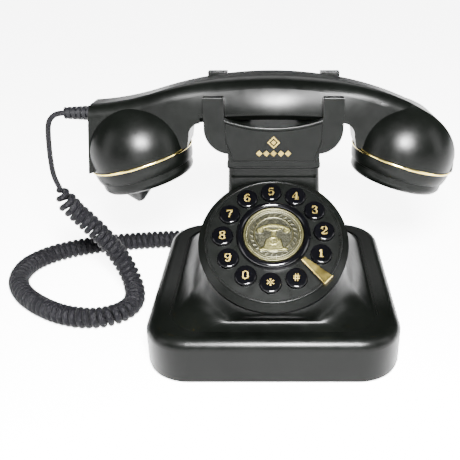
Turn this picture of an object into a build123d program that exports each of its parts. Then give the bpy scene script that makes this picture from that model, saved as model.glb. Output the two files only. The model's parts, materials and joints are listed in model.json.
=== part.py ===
from build123d import *
import os
from math import cos, radians, sin, sqrt, tan

# A French-style cradle telephone with push keys on a dial face.
# Frame: millimetres, +Z up, +X to the phone's right as its user sees it, the user at -Y.
# The origin is on the floor, below the middle of the base.

os.makedirs("parts", exist_ok=True)

# ---------------------------------------------------------------- driving dimensions
# Fits and gaps
seat_gap = 0.15  # between two pieces that are seated in each other
slide_gap = 0.25  # round a key, a plunger pin or a slider
screw_gap = 0.05  # round a screw's shank

# Base
base_width = 151.0
base_depth = 154.0
base_corner = 26.0
base_top = 30.0
shoulder = 6.5  # rounding between the platform's wall and its top
housing_wall = 2.6
plate_bottom = 1.2
plate_top = 4.1
seam = 0.2
plate_chamfer = 1.0
plate_inset = 0.5
lip_height = 2.5
lip_wall = 1.6

# Rubber feet and base screws
foot_radius = 6.0
foot_inset = 22.0
foot_pocket = 1.2
boss_radius = 4.0
boss_inset = 13.0
base_screw_radius = 1.5
base_screw_length = 12.0
screw_head_radius = 3.0
screw_head_height = 1.6

# Pedestal and neck
pedestal_side_inset = 14.5
pedestal_front_inset = 11.5
pedestal_corner = 20.0
groove_width = 1.0
groove_depth = 0.7
neck_width = 56.0
neck_depth = 44.0
neck_corner = 5.0
neck_top = 102.4
neck_flare = 6.0  # extra width of the neck at the pedestal's foot
collar_height = 2.1
collar_proud = 0.9

# Dial
dial_tilt = 35.0  # the dial's slope from level
dial_height = 72.5  # the middle of the dial's face above the floor
dial_forward = 33.5  # the same point in front of the base's middle
dial_radius = 40.3
dial_thickness = 2.6
dial_rim_height = 0.7
dial_rim_width = 1.3
ring_outer = 44.5
ring_drop = 3.3  # how far the bevel falls from its inner to its outer edge
ring_depth = 6.0
ring_ledge = 1.7
bowl_inset = 2.2  # pedestal's edge inside the ring's edge
hub_outer = 21.8
hub_inner = 17.9
hub_height = 4.6
hub_shift = 1.8  # how far the hub and the keys sit up the slope from the middle of the disc
medallion_height = 3.7

# Keys
key_radius = 6.2
key_first_angle = -23.0
key_spacing = 29.0
key_proud = 2.0
key_travel = 1.5
key_flange = 0.5
key_flange_height = 1.3
key_stem_radius = 2.5
mat_gap = 0.2  # left between a stem and its dome when the key is down

# Finger stop
stop_angle = -43.5
stop_start = 23.2
stop_tip_width = 2.8
stop_rim_width = 7.0
stop_height = 1.6
stop_rise = 3.2  # underside of the arm above the dial
stop_lip = 2.6

# Cradle
cradle_lean = 5.0  # degrees backwards
cradle_origin_y = 24.0
cradle_rise = 7.6  # the cradle's origin above the neck
prong_outer = 42.0
prong_width = 12.4
prong_front_top = 34.6
prong_rear_top = 44.4
saddle_side = 21.4
saddle_middle = 16.4
saddle_gap = 0.6
panel_recess = 1.4
lip_drop = 2.2
cradle_wall = 3.2
saddle_floor = 4.4
prong_edge = 0.6
lip_edge = 0.7
emblem_z = 7.2
emblem_height = 0.35

# Hook
pin_radius = 3.2
pin_spacing = 36.0
bridge_height = 3.6
bracket_thickness = 1.8
hook_post_radius = 1.6
hook_spring_radius = 4.2
hook_spring_wire = 0.6
hook_spring_turns = 4
hook_y = 25.6

# Handset, in the cradle's leaning frame
handset_shift = -1.2  # sideways, where it lies in the cradle
handset_apex = 46.2  # top of the handle above the cradle's origin
handle_arc = 235.0  # radius of the handle's back
handle_half = 15.5
handle_under = 19.3
handle_under_side = 17.6
handle_crease = 23.5
cup_x = 83.0
cup_z = -6.6
cup_tilt = 15.2
block_x = 110.8  # the squared end over the mouthpiece
block_top = 28.2
cup_radius = 32.4
cup_lift = 4.6  # straight part of a cup between its ring and its dome
handset_wall = 2.4
handle_round = 7.5
ring_half = 0.9
ring_proud = 0.7
cap_depth = 16.0
cap_band = 8.4
cap_wall = 2.2
grip_half_length = 43.9
horn_depth = 12.0
horn_wall = 1.2

# Strain relief and cord
relief_z = 21.0
relief_root = 110.8
relief_tip = 129.8
relief_root_radius = 4.8
relief_tip_radius = 3.7
relief_spigot = 2.45
wire_diameter = 3.4
coil_diameter = 14.4
coil_lay = 7.4  # height of the coil's middle where it lies on the floor

# Rear panel
jack_x = 41.0
jack_z = 12.0
plug_width = 7.7
plug_height = 6.4
plug_inside = 9.0
line_width = 9.8
line_height = 6.8
jack_size = (14.0, 12.0, 14.0)
switch_travel = 3.0

switch_width = 5.0
switch_height = 3.4
switch_slot = switch_width + switch_travel + 2 * slide_gap

# ---------------------------------------------------------------- planes
housing_bottom = plate_top + seam
dial = Plane(
    origin=(0, -dial_forward, dial_height),
    x_dir=(1, 0, 0),
    z_dir=(0, -sin(radians(dial_tilt)), cos(radians(dial_tilt))),
)
lean = Plane(
    origin=(0, cradle_origin_y, neck_top + cradle_rise),
    x_dir=(1, 0, 0),
    z_dir=(0, sin(radians(cradle_lean)), cos(radians(cradle_lean))),
)


def section(plane):
    """The plane that holds another plane's axis: its x is the radius and its y is that axis."""
    return Plane(origin=plane.origin, x_dir=plane.x_dir, z_dir=-plane.y_dir)


def raised(plane, x, y, z):
    """A plane parallel to another one, at a point given in that one's own coordinates."""
    return Plane(origin=plane.from_local_coords((x, y, z)), x_dir=plane.x_dir, z_dir=plane.z_dir)


dial_axis = Axis(dial.origin, dial.z_dir)
hub = raised(dial, 0, hub_shift, 0)
ledge_inner = dial_radius - ring_ledge
key_circle = ledge_inner - hub_shift - key_radius - key_flange - 0.1
hub_axis = Axis(hub.origin, hub.z_dir)
front = section(lean)  # the cradle seen from the front
rest = raised(lean, handset_shift, 0, 0)
held = section(rest)  # the handset seen from the front


def finish(piece, name):
    """Labels a finished piece and writes it."""
    piece.label = name
    export_step(piece, f"parts/{name}.step")


def base_outline(inset):
    """The base's rounded rectangle, drawn inwards."""
    RectangleRounded(base_width - 2 * inset, base_depth - 2 * inset, base_corner - inset)


# ---------------------------------------------------------------- base plate, feet, screws
foot_places = (base_width - 2 * foot_inset, base_depth - 2 * foot_inset)
boss_places = (base_width - 2 * boss_inset, base_depth - 2 * boss_inset)
board_size = (88.0, 76.0)
board_y = 18.0
board_bottom = 12.0
board_thickness = 1.6
post_radius = 2.6
post_places = (board_size[0] - 8, board_size[1] - 8)
ringer_radius = 15.0
ringer_y = -base_depth / 2 + 30

with BuildPart() as base_plate:
    with BuildSketch(Plane.XY.offset(plate_bottom)):
        base_outline(plate_inset)
    extrude(amount=plate_top - plate_bottom)
    chamfer(base_plate.faces().sort_by(Axis.Z)[0].edges(), plate_chamfer)
    # locating lip inside the housing's wall
    with BuildSketch(Plane.XY.offset(plate_top)):
        base_outline(housing_wall + seat_gap)
        base_outline_inner = housing_wall + seat_gap + lip_wall
        RectangleRounded(
            base_width - 2 * base_outline_inner,
            base_depth - 2 * base_outline_inner,
            base_corner - base_outline_inner,
            mode=Mode.SUBTRACT,
        )
        with GridLocations(*boss_places, 2, 2):
            Circle(boss_radius + seat_gap, mode=Mode.SUBTRACT)
        with Locations((-jack_x, base_depth / 2), (jack_x, base_depth / 2)):
            Rectangle(jack_size[0] + 1, 4 * lip_wall + 2 * housing_wall, mode=Mode.SUBTRACT)
    extrude(amount=lip_height)
    # posts that carry the main board
    with BuildSketch(Plane.XY.offset(plate_top)):
        with Locations((0, board_y)):
            with GridLocations(*post_places, 2, 2):
                Circle(post_radius)
    extrude(amount=board_bottom - plate_top)
    # pockets for the feet, holes for the screws and sound holes under the ringer
    with BuildSketch(Plane.XY.offset(plate_bottom)):
        with GridLocations(*foot_places, 2, 2):
            Circle(foot_radius + seat_gap)
    extrude(amount=foot_pocket, mode=Mode.SUBTRACT)
    with Locations(Plane.XY.offset(plate_bottom).rotated((180, 0, 0))):
        with GridLocations(*boss_places, 2, 2):
            CounterBoreHole(
                base_screw_radius + screw_gap,
                screw_head_radius + screw_gap,
                screw_head_height,
            )
    with BuildSketch(Plane.XY.offset(plate_bottom)):
        with Locations((0, ringer_y)):
            Circle(1.2)
            with PolarLocations(6, 6):
                Circle(1.2)
    extrude(amount=plate_top, mode=Mode.SUBTRACT)
finish(base_plate.part, "base_plate")

with BuildPart() as rubber_feet:
    with BuildSketch():
        with GridLocations(*foot_places, 2, 2):
            Circle(foot_radius)
    extrude(amount=plate_bottom + foot_pocket)
    chamfer(rubber_feet.faces().group_by(Axis.Z)[0].edges(), 0.4)
finish(rubber_feet.part, "rubber_feet")

with BuildPart() as base_screws:
    with GridLocations(*boss_places, 2, 2):
        with Locations((0, 0, plate_bottom)):
            Cylinder(screw_head_radius, screw_head_height, align=(Align.CENTER, Align.CENTER, Align.MIN))
            Cylinder(base_screw_radius, base_screw_length, align=(Align.CENTER, Align.CENTER, Align.MIN))
    with BuildSketch(Plane.XY.offset(plate_bottom)):
        with GridLocations(*boss_places, 2, 2):
            Rectangle(3.2, 0.8)
            Rectangle(0.8, 3.2)
    extrude(amount=0.9, mode=Mode.SUBTRACT)
finish(base_screws.part, "base_screws")

# ---------------------------------------------------------------- base housing
foot_width = base_width - 2 * pedestal_side_inset
foot_depth = base_depth - 2 * pedestal_front_inset
bowl_radius = ring_outer - bowl_inset
bowl_base = raised(dial, 0, 0, -ring_depth)
neck_y = cradle_origin_y


def tilted(y, z, tilt):
    """A level plane turned about X, its middle at a height."""
    return Plane(origin=(0, y, z), x_dir=(1, 0, 0), z_dir=(0, -sin(radians(tilt)), cos(radians(tilt))))


def blend_value(low, high, share):
    """A value part of the way from one to the other."""
    return low + (high - low) * share


def dial_bowl(inset, start):
    """Sections of the flared pedestal, from its rounded-square foot to the round seat of the dial ring."""
    bowl = bowl_base.origin
    with BuildSketch(Plane.XY.offset(start)) as foot:
        RectangleRounded(foot_width - 2 * inset, foot_depth - 2 * inset, pedestal_corner - inset)
    sections = [foot.sketch.face()]
    for share, rise, slope, squeeze, roundness in (
        (0.15, 0.225, 0.19, 0.50, 0.20),
        (0.52, 0.58, 0.54, 0.82, 0.62),
    ):
        width = blend_value(foot_width, 2 * bowl_radius, squeeze) - 2 * inset
        depth = blend_value(foot_depth, 2 * bowl_radius, squeeze * 0.9) - 2 * inset
        corner = blend_value(pedestal_corner, bowl_radius, roundness) - inset
        level = blend_value(base_top, bowl.Z, rise)
        with BuildSketch(tilted(bowl.Y * share, level, dial_tilt * slope)) as middle:
            RectangleRounded(width, depth, corner)
        sections.append(middle.sketch.face())
    with BuildSketch(bowl_base) as seat:
        span = 2 * (bowl_radius - inset)
        RectangleRounded(span, span, span / 2 - 0.05)
    return sections + [seat.sketch.face()]


def neck_form(inset, start, top):
    """Sections of the neck, which widens a little towards the back of the pedestal."""
    sections = []
    for level, spread in ((start, neck_flare), (top, 0)):
        width = neck_width + spread - 2 * inset
        depth = neck_depth + 2 * spread - 2 * inset
        with BuildSketch(tilted(neck_y, level, 0)) as middle:
            RectangleRounded(width, depth, neck_corner - inset)
        sections.append(middle.sketch.face())
    return sections


cove_radius = 4.0
cove_front = neck_y - neck_depth / 2 - cove_radius + 1.5

with BuildPart() as base_housing:
    with BuildSketch(Plane.XY.offset(housing_bottom)):
        base_outline(0)
    extrude(amount=base_top - housing_bottom)
    fillet(base_housing.faces().sort_by(Axis.Z)[-1].edges(), shoulder)
    # groove round the pedestal's foot
    with BuildSketch(Plane.XY.offset(base_top - groove_depth)):
        RectangleRounded(
            foot_width + 2 * groove_width, foot_depth + 2 * groove_width, pedestal_corner + groove_width
        )
    extrude(amount=groove_depth, mode=Mode.SUBTRACT)
    loft(dial_bowl(0, base_top - groove_depth))
    loft(neck_form(0, base_top - groove_depth, neck_top), ruled=True)
    # ledge with a hollow sweep that carries the neck's front down to the dial ring
    with BuildSketch(Plane.YZ.offset(-neck_width / 2 + 2)):
        with BuildLine():
            ledge_top = neck_top - 0.6
            cove_back = cove_front + cove_radius
            RadiusArc((cove_back, ledge_top), (cove_front, ledge_top - cove_radius), cove_radius)
            Polyline(
                (cove_front, ledge_top - cove_radius),
                (cove_front, ledge_top - 3.5 * cove_radius),
                (cove_back + 2, ledge_top - 3.5 * cove_radius),
                (cove_back + 2, ledge_top),
                (cove_back, ledge_top),
            )
        make_face()
    extrude(amount=neck_width - 4)
    # room for the dial ring and everything inside it
    with BuildSketch(section(dial)):
        with BuildLine():
            Polyline(
                (0, -ring_depth),
                (ring_outer + seat_gap, -ring_depth),
                (ring_outer + seat_gap, -ring_drop + seat_gap),
                (dial_radius + 0.4, seat_gap),
                (dial_radius + 0.4, 30),
                (0, 30),
                close=True,
            )
        make_face()
    revolve(axis=dial_axis, mode=Mode.SUBTRACT)
    # hollow: platform, bowl and neck
    with BuildSketch(Plane.XY.offset(housing_bottom)):
        base_outline(housing_wall)
    extrude(amount=base_top - housing_wall - housing_bottom, mode=Mode.SUBTRACT)
    loft(dial_bowl(housing_wall, base_top - 2 * housing_wall), mode=Mode.SUBTRACT)
    loft(neck_form(housing_wall, base_top - 2 * housing_wall, neck_top), ruled=True, mode=Mode.SUBTRACT)
    # screw bosses
    with BuildSketch(Plane.XY.offset(housing_bottom)):
        with GridLocations(*boss_places, 2, 2):
            Circle(boss_radius)
    extrude(amount=base_top - housing_wall - housing_bottom)
    with BuildSketch(Plane.XY.offset(housing_bottom)):
        with GridLocations(*boss_places, 2, 2):
            Circle(base_screw_radius + screw_gap)
    extrude(amount=base_screw_length, mode=Mode.SUBTRACT)
    # windows in the rear wall for the two jacks and the ringer switch
    with BuildSketch(Plane.XZ.offset(-base_depth / 2)):
        with Locations((-jack_x, jack_z)):
            Rectangle(plug_width + 2 * slide_gap, plug_height + 2 * slide_gap)
        with Locations((jack_x, jack_z)):
            Rectangle(line_width, line_height)
        with Locations((0, jack_z)):
            Rectangle(switch_slot, switch_height + 2 * slide_gap)
    extrude(amount=housing_wall, mode=Mode.SUBTRACT)
finish(base_housing.part, "base_housing")

# ---------------------------------------------------------------- inside the base
wall_inside = base_depth / 2 - housing_wall

with BuildPart() as ballast_plate:
    with BuildSketch(Plane.XY.offset(plate_top)):
        with Locations((0, board_y)):
            RectangleRounded(board_size[0] - 22, board_size[1] - 8, 3)
    extrude(amount=5)
finish(ballast_plate.part, "ballast_plate")

with BuildPart() as main_board:
    with BuildSketch(Plane.XY.offset(board_bottom)):
        with Locations((0, board_y)):
            Rectangle(*board_size)
    extrude(amount=board_thickness)
    with BuildSketch(Plane.XY.offset(board_bottom + board_thickness)):
        with Locations((-22, board_y + 12), (10, board_y - 20)):
            Rectangle(14, 8)
        with Locations((20, board_y + 16), (-6, board_y + 20), (28, board_y - 6)):
            Circle(4)
    extrude(amount=6)
finish(main_board.part, "main_board")

with BuildPart() as ringer:
    with BuildSketch(Plane.XY.offset(plate_top)):
        with Locations((0, ringer_y)):
            Circle(ringer_radius)
    extrude(amount=6)
    with BuildSketch(Plane.XY.offset(plate_top)):
        with Locations((0, ringer_y)):
            Circle(ringer_radius - 4)
    extrude(amount=4, mode=Mode.SUBTRACT)
finish(ringer.part, "ringer")


def jack_block(x, width, height, depth):
    """A jack's moulded block behind the rear wall, with a socket open to the rear."""
    with BuildPart() as block:
        with BuildSketch(Plane.XY.offset(plate_top)):
            with Locations((x, wall_inside - jack_size[1] / 2)):
                Rectangle(jack_size[0], jack_size[1])
        extrude(amount=jack_size[2])
        with BuildSketch(Plane.XZ.offset(-wall_inside)):
            with Locations((x, jack_z)):
                Rectangle(width, height)
        extrude(amount=depth, mode=Mode.SUBTRACT)
    return block.part


plug_fit = 2 * seat_gap
handset_jack_part = jack_block(-jack_x, plug_width + plug_fit, plug_height + plug_fit, plug_inside)
finish(handset_jack_part, "handset_jack")
finish(jack_block(jack_x, line_width, line_height, plug_inside), "line_jack")

with BuildPart() as ringer_switch:
    with BuildSketch(Plane.XZ.offset(-wall_inside + 1.5)):
        with Locations((-switch_travel / 2, jack_z)):
            Rectangle(switch_width + 5, switch_height + 3)
    extrude(amount=-1.2)
    with BuildSketch(Plane.XZ.offset(-wall_inside + 0.6)):
        with Locations((-switch_travel / 2, jack_z)):
            Rectangle(switch_width, switch_height)
    extrude(amount=-(housing_wall + 0.4))
finish(ringer_switch.part, "ringer_switch")

with BuildPart() as switch_body:
    with BuildSketch(Plane.XY.offset(plate_top)):
        with Locations((0, wall_inside - 5)):
            Rectangle(switch_width + switch_travel + 8, 6)
    extrude(amount=jack_z - plate_top + switch_height)
finish(switch_body.part, "switch_body")

# ---------------------------------------------------------------- dial
plate_bottom_h = -dial_thickness

with BuildPart() as dial_ring:
    with BuildSketch(section(dial)):
        with BuildLine():
            Polyline(
                (dial_radius + seat_gap, plate_bottom_h),
                (dial_radius + seat_gap, 0),
                (ring_outer, -ring_drop),
                (ring_outer, -ring_depth),
                (ledge_inner, -ring_depth),
                (ledge_inner, plate_bottom_h),
                close=True,
            )
        make_face()
    revolve(axis=dial_axis)
finish(dial_ring.part, "dial_ring")

key_places = [key_first_angle + key_spacing * step for step in range(12)]
post_circle = 18.0
key_flange_top = plate_bottom_h - slide_gap
key_stem_bottom = key_flange_top - key_flange_height - 1.6
dome_top = key_stem_bottom - key_travel - mat_gap
mat_bottom = dome_top - 1.6
key_board_thickness = 1.6

with BuildPart() as dial_plate:
    with BuildSketch(dial.offset(plate_bottom_h)):
        Circle(dial_radius)
    extrude(amount=dial_thickness)
    with BuildSketch(dial):
        Circle(dial_radius)
        Circle(dial_radius - dial_rim_width, mode=Mode.SUBTRACT)
    extrude(amount=dial_rim_height)
    fillet(dial_plate.faces().sort_by(dial_axis)[-1].edges(), dial_rim_height * 0.45)
    with BuildSketch(hub):
        with PolarLocations(key_circle, 12, key_first_angle, 12 * key_spacing):
            Circle(key_radius + slide_gap)
    extrude(amount=-dial_thickness, mode=Mode.SUBTRACT)
    # posts for the key board
    with BuildSketch(dial.offset(plate_bottom_h)):
        with PolarLocations(post_circle, 4, 45):
            Circle(2.4)
    extrude(amount=mat_bottom - plate_bottom_h)
    with BuildSketch(dial.offset(mat_bottom)):
        with PolarLocations(post_circle, 4, 45):
            Circle(1.0)
    extrude(amount=4, mode=Mode.SUBTRACT)
finish(dial_plate.part, "dial_plate")

with BuildPart() as key_mat:
    with BuildSketch(dial.offset(mat_bottom)):
        Circle(ledge_inner - 1.5)
        Circle(post_circle + 3, mode=Mode.SUBTRACT)
    extrude(amount=0.8)
    with BuildSketch(hub.offset(mat_bottom)):
        with PolarLocations(key_circle, 12, key_first_angle, 12 * key_spacing):
            Circle(3.6)
    extrude(amount=dome_top - mat_bottom, taper=20)
finish(key_mat.part, "key_mat")

with BuildPart() as key_board:
    with BuildSketch(dial.offset(mat_bottom)):
        Circle(ledge_inner - 0.8)
        with PolarLocations(post_circle, 4, 45):
            Circle(1.0, mode=Mode.SUBTRACT)
    extrude(amount=-key_board_thickness)
finish(key_board.part, "key_board")

with BuildPart() as dial_screws:
    with BuildSketch(dial.offset(mat_bottom - key_board_thickness)):
        with PolarLocations(post_circle, 4, 45):
            Circle(1.0 - screw_gap)
    extrude(amount=key_board_thickness + 3.5)
    with BuildSketch(dial.offset(mat_bottom - key_board_thickness)):
        with PolarLocations(post_circle, 4, 45):
            Circle(1.9)
    extrude(amount=-1.2)
finish(dial_screws.part, "dial_screws")

with BuildPart() as hub_ring:
    with BuildSketch(section(hub)):
        with BuildLine():
            half_width = (hub_outer - hub_inner) / 2
            wall_top = hub_height - half_width
            Polyline((hub_inner, wall_top), (hub_inner, 0), (hub_outer, 0), (hub_outer, wall_top))
            ThreePointArc(
                (hub_outer, wall_top),
                (hub_inner + half_width, hub_height),
                (hub_inner, wall_top),
            )
        make_face()
    revolve(axis=hub_axis)
finish(hub_ring.part, "hub_ring")

with BuildPart() as medallion:
    with BuildSketch(hub):
        Circle(hub_inner - seat_gap)
    extrude(amount=medallion_height)
    with BuildSketch(hub.offset(medallion_height)):
        Circle(hub_inner - 3.2)
    extrude(amount=-0.5, mode=Mode.SUBTRACT)
    # the little telephone in relief: base, neck and handset
    with BuildSketch(hub.offset(medallion_height - 0.5)):
        with Locations((0, -3.6)):
            Trapezoid(9.0, 3.2, 62)
        with Locations((0, -0.6)):
            Circle(2.4)
        with Locations((0, 3.6)):
            SlotOverall(10.5, 1.8)
        with Locations((-5.0, 2.6), (5.0, 2.6)):
            Circle(1.5)
    extrude(amount=0.5)
finish(medallion.part, "medallion")

stop_turn = radians(stop_angle)
stop_out = dial.from_local_coords((cos(stop_turn), sin(stop_turn), 0)) - dial.origin
stop_dial = Plane(origin=hub.origin, x_dir=stop_out, z_dir=dial.z_dir)


def stop_reach(radius):
    """Distance from the hub's middle, along the finger stop, to a circle about the dial's middle."""
    along = hub_shift * sin(stop_turn)
    return sqrt(radius * radius - hub_shift * hub_shift + along * along) - along


lip_in = stop_reach(dial_radius) + 2 * seat_gap
lip_out = stop_reach(ring_outer) - stop_lip

with BuildPart() as finger_stop:
    # tapering arm over the dial, held above it by its foot and its lip
    with BuildSketch(stop_dial.offset(stop_rise)):
        with BuildLine():
            Polyline(
                (stop_start, -stop_tip_width / 2),
                (lip_out, -stop_rim_width / 2),
                (lip_out, stop_rim_width / 2),
                (stop_start, stop_tip_width / 2),
                close=True,
            )
        make_face()
    extrude(amount=stop_height)
    # foot under the arm's inner end
    with BuildSketch(stop_dial):
        with Locations((stop_start + 1.6, 0)):
            Rectangle(2.4, stop_tip_width * 0.8)
    extrude(amount=stop_rise)
    # lip that folds down over the rim onto the bevel
    with BuildSketch(section(stop_dial)):
        with BuildLine():
            bevel_slope = ring_drop / (ring_outer - dial_radius - seat_gap)
            rim_edge = stop_reach(dial_radius) + seat_gap
            Polyline(
                (lip_in, stop_rise),
                (lip_in, seat_gap - (lip_in - rim_edge) * bevel_slope),
                (lip_out, seat_gap - (lip_out - rim_edge) * bevel_slope),
                (lip_out, stop_rise),
                close=True,
            )
        make_face()
    extrude(amount=stop_rim_width / 2 - 0.1, both=True)
    chamfer(finger_stop.faces().sort_by(dial_axis)[-1].edges(), 0.4)
finish(finger_stop.part, "finger_stop")

key_names = ["1", "2", "3", "4", "5", "6", "7", "8", "9", "0", "star", "hash"]
for key_name, angle in zip(key_names, key_places):
    turn = radians(angle)
    key_plane = raised(hub, key_circle * cos(turn), key_circle * sin(turn), 0)
    with BuildPart() as key:
        with BuildSketch(key_plane.offset(key_flange_top)):
            Circle(key_radius)
        extrude(amount=key_proud - key_flange_top)
        fillet(key.faces().sort_by(dial_axis)[-1].edges(), 0.9)
        with BuildSketch(key_plane.offset(key_flange_top)):
            Circle(key_radius + key_flange)
        extrude(amount=-key_flange_height)
        with BuildSketch(key_plane.offset(key_flange_top)):
            Circle(key_stem_radius)
        extrude(amount=key_stem_bottom - key_flange_top)
    finish(key.part, f"key_{key_name}")

# ---------------------------------------------------------------- collar and cradle
with BuildPart() as neck_collar:
    with BuildSketch(Plane.XY.offset(neck_top + 0.05)):
        with Locations((0, neck_y)):
            RectangleRounded(
                neck_width + 2 * collar_proud, neck_depth + 2 * collar_proud, neck_corner + collar_proud
            )
            RectangleRounded(
                neck_width - 2 * housing_wall, neck_depth - 2 * housing_wall, neck_corner - housing_wall,
                mode=Mode.SUBTRACT,
            )
    extrude(amount=collar_height)
    # groove between the collar's two ribs
    with BuildSketch(Plane.XY.offset(neck_top + 0.05 + collar_height / 3)):
        with Locations((0, neck_y)):
            RectangleRounded(
                neck_width + 2 * collar_proud + 2, neck_depth + 2 * collar_proud + 2, neck_corner + collar_proud + 1
            )
            RectangleRounded(
                neck_width + collar_proud / 2, neck_depth + collar_proud / 2, neck_corner + collar_proud / 4,
                mode=Mode.SUBTRACT,
            )
    extrude(amount=collar_height / 3, mode=Mode.SUBTRACT)
finish(neck_collar.part, "neck_collar")

cradle_bottom = neck_top + collar_height + 0.1
prong_inner = prong_outer - prong_width
cradle_half = neck_depth / 2
channel_half = handle_half + saddle_gap
channel_floor = handle_under_side - 0.3
neck_half = neck_width / 2

with BuildPart() as cradle:
    with BuildSketch(front):
        with BuildLine():
            for side in (-1, 1):
                Polyline((side * neck_half, -10), (side * neck_half, 0.4))
                ThreePointArc(
                    (side * neck_half, 0.4),
                    (side * (prong_outer - 4.2), 5.2),
                    (side * prong_outer, 15.5),
                )
                Polyline(
                    (side * prong_outer, 15.5),
                    (side * prong_outer, prong_rear_top),
                    (side * prong_inner, prong_rear_top),
                    (side * prong_inner, saddle_side),
                )
            ThreePointArc((-prong_inner, saddle_side), (0, saddle_middle), (prong_inner, saddle_side))
            Line((-neck_half, -10), (neck_half, -10))
        make_face()
    extrude(amount=cradle_half, both=True)
    # the front prongs are shorter than the rear ones
    with BuildSketch(front.offset(cradle_half)):
        with Locations((0, prong_front_top + 20)):
            Rectangle(2 * prong_outer + 2, 40)
    extrude(amount=-cradle_half, mode=Mode.SUBTRACT)
    # channel for the handset's handle
    with BuildSketch(front):
        with Locations((0, channel_floor + 30)):
            Rectangle(2 * prong_outer + 2, 60)
    extrude(amount=channel_half, both=True, mode=Mode.SUBTRACT)
    # front panel, set back below the lip
    with BuildSketch(front.offset(cradle_half)):
        with BuildLine():
            panel_half = prong_inner - 0.4
            Polyline(
                (-panel_half, saddle_side - lip_drop),
                (-panel_half, 8),
                (-neck_half + 2.4, -1.5),
                (-neck_half + 2.8, -4.6),
                (neck_half - 2.8, -4.6),
                (neck_half - 2.4, -1.5),
                (panel_half, 8),
                (panel_half, saddle_side - lip_drop),
            )
            ThreePointArc(
                (-panel_half, saddle_side - lip_drop),
                (0, saddle_middle - lip_drop),
                (panel_half, saddle_side - lip_drop),
            )
        make_face()
    extrude(amount=-panel_recess, mode=Mode.SUBTRACT)
    # hollow for the hook, open at the bottom
    with BuildSketch(front):
        with Locations((0, (channel_floor - saddle_floor - 12) / 2)):
            Rectangle(2 * (neck_half - cradle_wall), channel_floor - saddle_floor + 12)
    extrude(amount=cradle_half - cradle_wall - panel_recess, both=True, mode=Mode.SUBTRACT)
    with BuildSketch(Plane.XY.offset(cradle_bottom)):
        with GridLocations(pin_spacing, 1, 2, 1):
            with Locations((0, hook_y)):
                Circle(pin_radius + slide_gap)
    extrude(amount=40, mode=Mode.SUBTRACT)
    split(bisect_by=Plane.XY.offset(cradle_bottom), keep=Keep.TOP)
    prong_faces = cradle.faces().sort_by(Axis(lean.origin, lean.z_dir))[-4:]
    fillet(prong_faces.edges(), prong_edge)
    # rounded edges of the lip over the front panel
    lip_edges = cradle.edges().filter_by(GeomType.CIRCLE).filter_by(
        lambda edge: edge.radius > 60 and abs(lean.to_local_coords(edge.center()).Y + cradle_half) < 0.01
    )
    fillet(lip_edges, lip_edge)
finish(cradle.part, "cradle")

with BuildPart() as emblem:
    with BuildSketch(front.offset(cradle_half - panel_recess)):
        with Locations((0, emblem_z)):
            RegularPolygon(3.8, 4)
            RegularPolygon(2.7, 4, mode=Mode.SUBTRACT)
            RegularPolygon(1.5, 4)
        with Locations((0, emblem_z - 6.8)):
            with GridLocations(4.4, 1, 5, 1):
                RegularPolygon(1.9, 4)
    extrude(amount=emblem_height)
finish(emblem.part, "emblem")

# ---------------------------------------------------------------- hook
bracket_bottom = cradle_bottom
bracket_top = bracket_bottom + bracket_thickness
bridge_bottom = bracket_top + 5.5
handset_under_z = lean.from_local_coords((pin_spacing / 2, 0, handle_under - 0.35)).Z
pin_top = handset_under_z - 0.45
cavity_half_x = neck_half - cradle_wall
cavity_half_y = cradle_half - cradle_wall - panel_recess

with BuildPart() as hook_bracket:
    with BuildSketch(Plane.XY.offset(bracket_bottom)):
        with Locations((0, hook_y - 1.4)):
            Rectangle(2 * (cavity_half_x - seat_gap), 2 * (cavity_half_y - 1.0))
        with Locations((0, hook_y)):
            Circle(hook_post_radius + slide_gap, mode=Mode.SUBTRACT)
    extrude(amount=bracket_thickness)
finish(hook_bracket.part, "hook_bracket")

with BuildPart() as hook_plunger:
    with BuildSketch(Plane.XY.offset(bridge_bottom)):
        with Locations((0, hook_y)):
            Rectangle(pin_spacing + 2 * pin_radius, 8)
    extrude(amount=bridge_height)
    with BuildSketch(Plane.XY.offset(bridge_bottom)):
        with Locations((0, hook_y)):
            with GridLocations(pin_spacing, 1, 2, 1):
                Circle(pin_radius)
    extrude(amount=pin_top - bridge_bottom)
    fillet(hook_plunger.faces().sort_by(Axis.Z)[-2:].edges(), 1.0)
    with BuildSketch(Plane.XY.offset(bridge_bottom)):
        with Locations((0, hook_y)):
            Circle(hook_post_radius)
    extrude(amount=bracket_bottom - 0.5 - bridge_bottom)
finish(hook_plunger.part, "hook_plunger")

spring_length = bridge_bottom - bracket_top - hook_spring_wire - 0.1
with BuildPart() as hook_spring:
    with BuildLine() as spring_line:
        Helix(
            pitch=spring_length / hook_spring_turns,
            height=spring_length,
            radius=hook_spring_radius,
            center=(0, hook_y, bracket_top + hook_spring_wire / 2 + 0.05),
        )
    with BuildSketch(Plane(origin=spring_line.line @ 0, z_dir=spring_line.line % 0)):
        Circle(hook_spring_wire / 2)
    sweep(is_frenet=True)
finish(hook_spring.part, "hook_spring")

with BuildPart() as hook_switch:
    with BuildSketch(Plane.XY.offset(bracket_bottom)):
        with Locations((0, hook_y)):
            Rectangle(20, 10)
    extrude(amount=-9)
    with BuildSketch(Plane.XY.offset(bracket_bottom)):
        with Locations((0, hook_y)):
            Circle(hook_post_radius + slide_gap)
    extrude(amount=-0.7, mode=Mode.SUBTRACT)
finish(hook_switch.part, "hook_switch")

# ---------------------------------------------------------------- handset
tilt_sin = sin(radians(cup_tilt))
tilt_cos = cos(radians(cup_tilt))


def cup_plane(side):
    """The plane of a cup's gold ring; its z points up into the cup, away from the cap."""
    return Plane(
        origin=held.from_local_coords((side * cup_x, cup_z, 0)),
        x_dir=held.x_dir * tilt_cos - held.y_dir * (side * tilt_sin),
        z_dir=held.x_dir * (side * tilt_sin) + held.y_dir * tilt_cos,
    )


def cup_section(side):
    """A plane through a cup's axis: x is the distance from the axis and y the height over the ring."""
    return section(cup_plane(side))


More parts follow.
